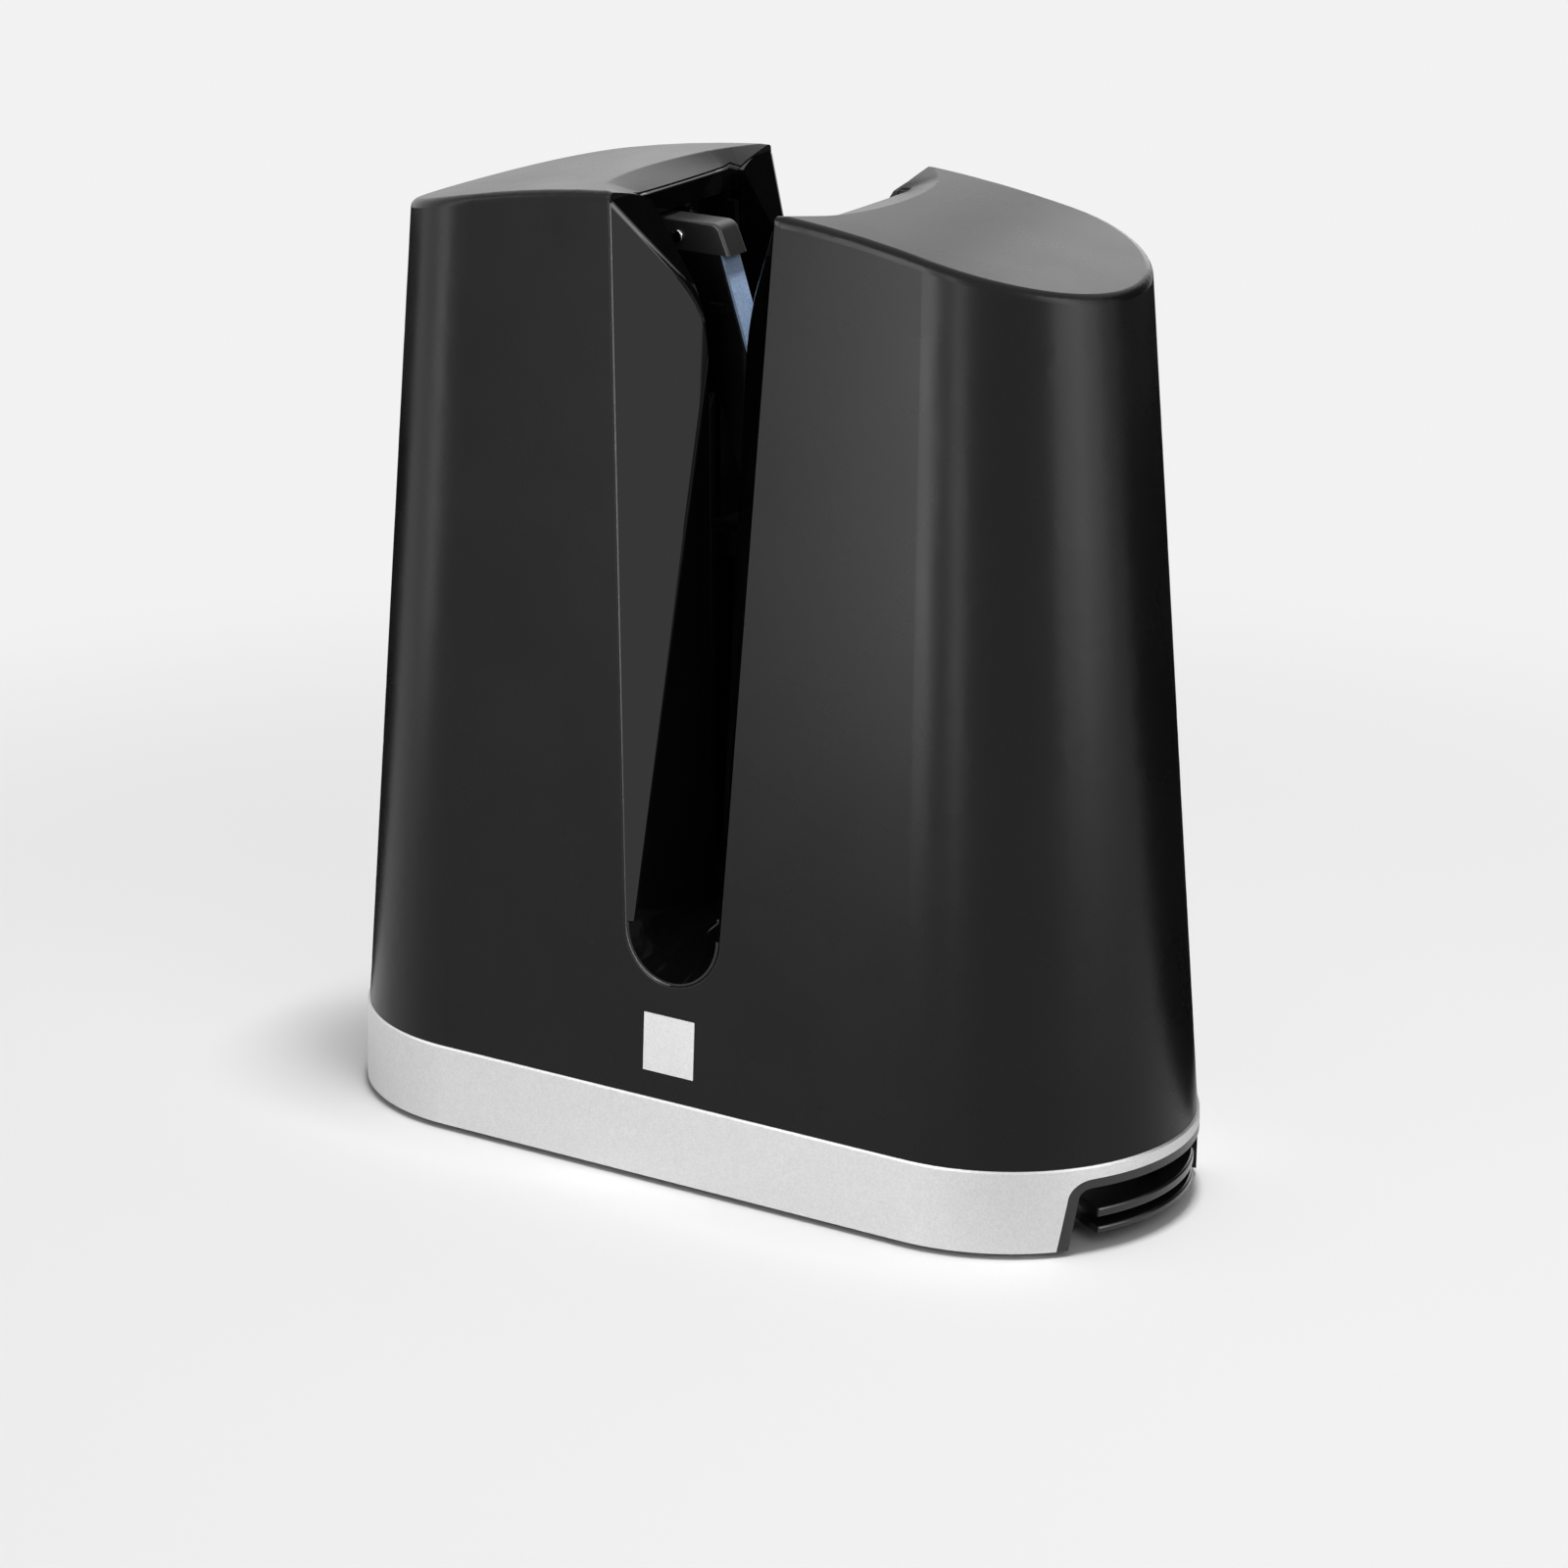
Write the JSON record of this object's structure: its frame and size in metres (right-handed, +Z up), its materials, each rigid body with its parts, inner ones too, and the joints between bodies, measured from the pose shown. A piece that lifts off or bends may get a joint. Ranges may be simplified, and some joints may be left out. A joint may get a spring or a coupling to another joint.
{
  "type": "electric knife sharpener",
  "caption": "Free-standing electric knife sharpener: tapered housing with a through slot, sprung crossed ceramic stones on a driven carriage, and a cord recess in the base.",
  "frame": {"origin": "on the table plane under the middle of the base", "axes": "+Z up, +X towards the end with the cord recess, -Y the face with the badge plate"},
  "size_m": [0.2254, 0.093, 0.236],
  "materials": {
    "housing": "soft-touch matte charcoal",
    "gloss_black": "polished black",
    "satin_silver": "bead-blasted satin",
    "bezel": "fine matte dark grey",
    "black_plastic": "moulded black",
    "winder_black": "semi-gloss black",
    "rubber": "matte rubber",
    "steel": "bright zinc",
    "ground_steel": "ground",
    "chrome": "polished",
    "stone": "fine ground light blue",
    "cap_grey": "satin dark grey",
    "brass": "turned",
    "bronze": "sintered",
    "gear_white": "natural acetal",
    "plate_metal": "stamped",
    "motor_steel": "zinc-plated",
    "board_green": "solder mask",
    "module_black": "potted",
    "capacitor_sleeve": "shrunk sleeve",
    "terminal_green": "moulded",
    "button": "satin grey"
  },
  "bodies": {
    "base": {"housing_shell": "housing", "base_band": "satin_silver", "recess_bezel": "bezel", "base_pan": "black_plastic", "cord_winder": "winder_black", "inlet_gland": "rubber", "rubber_feet": "rubber", "housing_screws": "steel", "badge_plate": "satin_silver", "front_funnel": "gloss_black", "rear_funnel": "gloss_black", "shaft_liner": "gloss_black", "guide_rods": "ground_steel", "gear_plate_front": "plate_metal", "gear_plate_rear": "plate_metal", "plate_spacers": "steel", "plate_screws": "steel", "shaft_bushes": "bronze", "motor_can": "motor_steel", "motor_end_cap": "black_plastic", "motor_screws": "steel", "board_bracket": "black_plastic", "board_standoffs": "steel", "control_board": "board_green", "power_module": "module_black", "smoothing_capacitor": "capacitor_sleeve", "terminal_block": "terminal_green", "button_switch": "module_black", "button_spring": "ground_steel"},
    "carriage": {"carriage": "black_plastic", "carriage_bushes": "bronze", "drive_rack": "gear_white", "left_spring": "ground_steel", "right_spring": "ground_steel"},
    "left_wing": {"left_stone": "stone", "left_holder": "black_plastic", "left_cap": "cap_grey", "left_pivot_pin": "chrome"},
    "right_wing": {"right_stone": "stone", "right_holder": "black_plastic", "right_cap": "cap_grey", "right_pivot_pin": "chrome"},
    "drive_axle": {"drive_shaft": "ground_steel", "rack_pinion": "gear_white", "main_wheel": "gear_white"},
    "idler_axle": {"idler_shaft": "ground_steel", "idler_pinion": "gear_white", "idler_wheel": "gear_white"},
    "motor_rotor": {"motor_pinion": "brass", "motor_shaft": "ground_steel"},
    "button": {"power_button": "button"}
  },
  "joints": [
    {"name": "carriage_travel", "type": "slide", "parent": "base", "child": "carriage", "axis": [0, 0, -1], "range_m": [0, 0.085]},
    {"name": "left_wing_swing", "type": "hinge", "parent": "carriage", "child": "left_wing", "pos_m": [-0.021, 0, 0.2216], "axis": [0, 1, 0], "range_deg": [0, 12], "stiffness_Nm_per_rad": 0.05, "springref_deg": -17.19},
    {"name": "right_wing_swing", "type": "hinge", "parent": "carriage", "child": "right_wing", "pos_m": [0.021, 0, 0.2216], "axis": [0, -1, 0], "range_deg": [0, 12], "stiffness_Nm_per_rad": 0.05, "springref_deg": -17.19},
    {"name": "drive_axle_turn", "type": "hinge", "parent": "base", "child": "drive_axle", "pos_m": [0.0449, 0, 0.12932], "axis": [0, -1, 0], "range_deg": [0, 620.9]},
    {"name": "idler_axle_turn", "type": "hinge", "parent": "base", "child": "idler_axle", "pos_m": [0.06033, 0, 0.11094], "axis": [0, 1, 0], "range_deg": [0, 2483.8]},
    {"name": "motor_turn", "type": "hinge", "parent": "base", "child": "motor_rotor", "pos_m": [0.0633, 0, 0.0941], "axis": [0, -1, 0], "range_deg": [0, 9314.1]},
    {"name": "button_press", "type": "slide", "parent": "base", "child": "button", "axis": [0, -1, 0], "range_m": [0, 0.0016], "stiffness_N_per_m": 800, "springref_m": -0.001, "deforming": ["button_spring"]}
  ],
  "couplings": [
    {"joint": "drive_axle_turn", "follows": "carriage_travel", "rad_per_m": 125},
    {"joint": "idler_axle_turn", "follows": "carriage_travel", "rad_per_m": 500},
    {"joint": "motor_turn", "follows": "carriage_travel", "rad_per_m": 1875}
  ]
}
